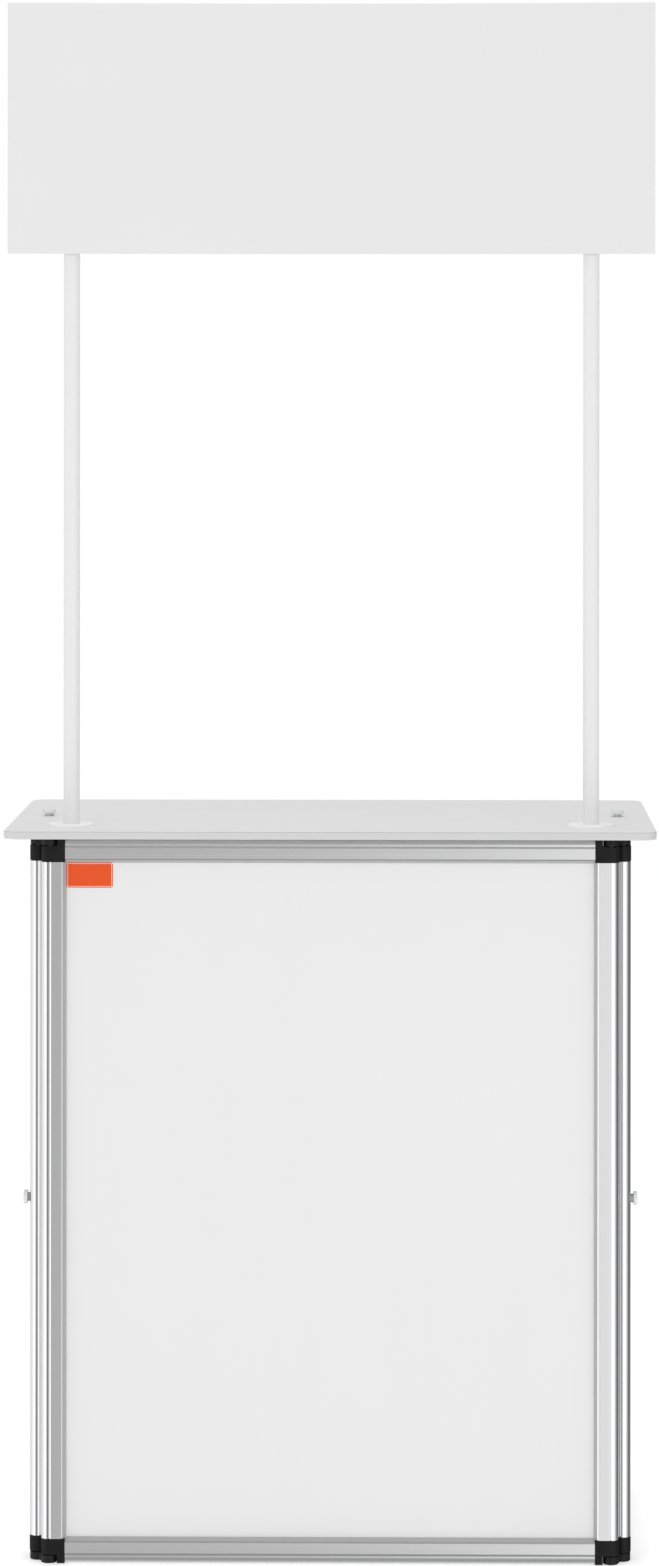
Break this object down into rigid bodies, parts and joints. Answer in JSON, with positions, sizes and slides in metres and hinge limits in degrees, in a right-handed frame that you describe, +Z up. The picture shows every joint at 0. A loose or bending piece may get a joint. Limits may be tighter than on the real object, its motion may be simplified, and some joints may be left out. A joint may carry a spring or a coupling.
{
  "type": "folding display counter",
  "caption": "Folding display counter: level tabletop on a three-sided aluminium frame with white panels, and a header board on two poles.",
  "frame": {"origin": "on the floor, under the middle of the tabletop", "axes": "+Z up, +Y to the open back, +X to the right seen from the front"},
  "size_m": [0.8, 0.4, 1.918],
  "materials": {
    "aluminium": "satin anodised extrusion",
    "infill": "smooth white plastic sheet",
    "black_nylon": "moulded, finely ribbed",
    "label": "printed vinyl, plain",
    "steel": "zinc plated",
    "knob": "moulded, pale",
    "pole": "smooth white plastic tube",
    "tabletop": "smooth white board",
    "header": "satin white sheet",
    "clip": "moulded white",
    "shelf": "smooth white board"
  },
  "bodies": {
    "front_frame": {"front_bottom_rail": "aluminium", "front_top_rail": "aluminium", "front_left_stile": "aluminium", "front_right_stile": "aluminium", "front_panel": "infill", "front_bottom_left_corner": "black_nylon", "front_bottom_right_corner": "black_nylon", "front_top_left_corner": "black_nylon", "front_top_right_corner": "black_nylon", "panel_label": "label"},
    "left_links": {"left_bottom_link": "black_nylon", "left_top_link": "black_nylon", "left_link_pins": "steel"},
    "left_side": {"left_bottom_rail": "aluminium", "left_top_rail": "aluminium", "left_front_stile": "aluminium", "left_rear_stile": "aluminium", "left_panel": "infill", "left_bottom_front_corner": "black_nylon", "left_bottom_rear_corner": "black_nylon", "left_top_front_corner": "black_nylon", "left_top_rear_corner": "black_nylon", "left_shelf_brackets": "steel"},
    "left_side_knobs": {"left_side_knobs": "knob", "left_side_knob_studs": "steel"},
    "left_top_knob": {"left_top_knob": "knob", "left_top_knob_stud": "steel"},
    "left_pole": {"left_pole": "pole", "left_pole_cap": "pole"},
    "top": {"left_pole_flange": "pole", "right_pole_flange": "pole", "tabletop": "tabletop", "tabletop_inserts": "steel", "flange_bolts": "steel"},
    "right_links": {"right_bottom_link": "black_nylon", "right_top_link": "black_nylon", "right_link_pins": "steel"},
    "right_side": {"right_bottom_rail": "aluminium", "right_top_rail": "aluminium", "right_front_stile": "aluminium", "right_rear_stile": "aluminium", "right_panel": "infill", "right_bottom_front_corner": "black_nylon", "right_bottom_rear_corner": "black_nylon", "right_top_front_corner": "black_nylon", "right_top_rear_corner": "black_nylon", "right_shelf_brackets": "steel"},
    "right_side_knobs": {"right_side_knobs": "knob", "right_side_knob_studs": "steel"},
    "right_top_knob": {"right_top_knob": "knob", "right_top_knob_stud": "steel"},
    "right_pole": {"right_pole": "pole", "right_pole_cap": "pole"},
    "header": {"header_sheet": "header", "header_left_lower_clip": "clip", "header_left_upper_clip": "clip", "header_right_lower_clip": "clip", "header_right_upper_clip": "clip"},
    "shelf": {"shelf": "shelf"}
  },
  "joints": [
    {"name": "left_link_turn", "type": "hinge", "parent": "front_frame", "child": "left_links", "pos_m": [-0.345, -0.17, 0], "axis": [0, 0, 1], "range_deg": [0, 45]},
    {"name": "left_side_turn", "type": "hinge", "parent": "left_links", "child": "left_side", "pos_m": [-0.35985, -0.15515, 0], "axis": [0, 0, 1], "range_deg": [0, 45]},
    {"name": "right_link_turn", "type": "hinge", "parent": "front_frame", "child": "right_links", "pos_m": [0.345, -0.17, 0], "axis": [0, 0, -1], "range_deg": [0, 45]},
    {"name": "right_side_turn", "type": "hinge", "parent": "right_links", "child": "right_side", "pos_m": [0.35985, -0.15515, 0], "axis": [0, 0, -1], "range_deg": [0, 45]},
    {"name": "top_lift", "type": "slide", "parent": "front_frame", "child": "top", "axis": [0, 0, 1], "range_m": [0, 0.15]},
    {"name": "left_pole_lift", "type": "slide", "parent": "top", "child": "left_pole", "axis": [0, 0, 1], "range_m": [0, 0.08]},
    {"name": "right_pole_lift", "type": "slide", "parent": "top", "child": "right_pole", "axis": [0, 0, 1], "range_m": [0, 0.08]},
    {"name": "header_lift", "type": "slide", "parent": "top", "child": "header", "axis": [0, 0, 1], "range_m": [0, 0.16]},
    {"name": "left_top_knob_draw", "type": "slide", "parent": "top", "child": "left_top_knob", "axis": [0, 0, 1], "range_m": [0, 0.03]},
    {"name": "right_top_knob_draw", "type": "slide", "parent": "top", "child": "right_top_knob", "axis": [0, 0, 1], "range_m": [0, 0.03]},
    {"name": "left_side_knobs_draw", "type": "slide", "parent": "left_side", "child": "left_side_knobs", "axis": [-1, 0, 0], "range_m": [0, 0.035]},
    {"name": "right_side_knobs_draw", "type": "slide", "parent": "right_side", "child": "right_side_knobs", "axis": [1, 0, 0], "range_m": [0, 0.035]},
    {"name": "shelf_pull", "type": "slide", "parent": "front_frame", "child": "shelf", "axis": [0, 1, 0], "range_m": [0, 0.35]}
  ],
  "couplings": [
    {"joint": "left_link_turn", "follows": "left_side_turn", "ratio": 1},
    {"joint": "right_link_turn", "follows": "right_side_turn", "ratio": 1}
  ]
}
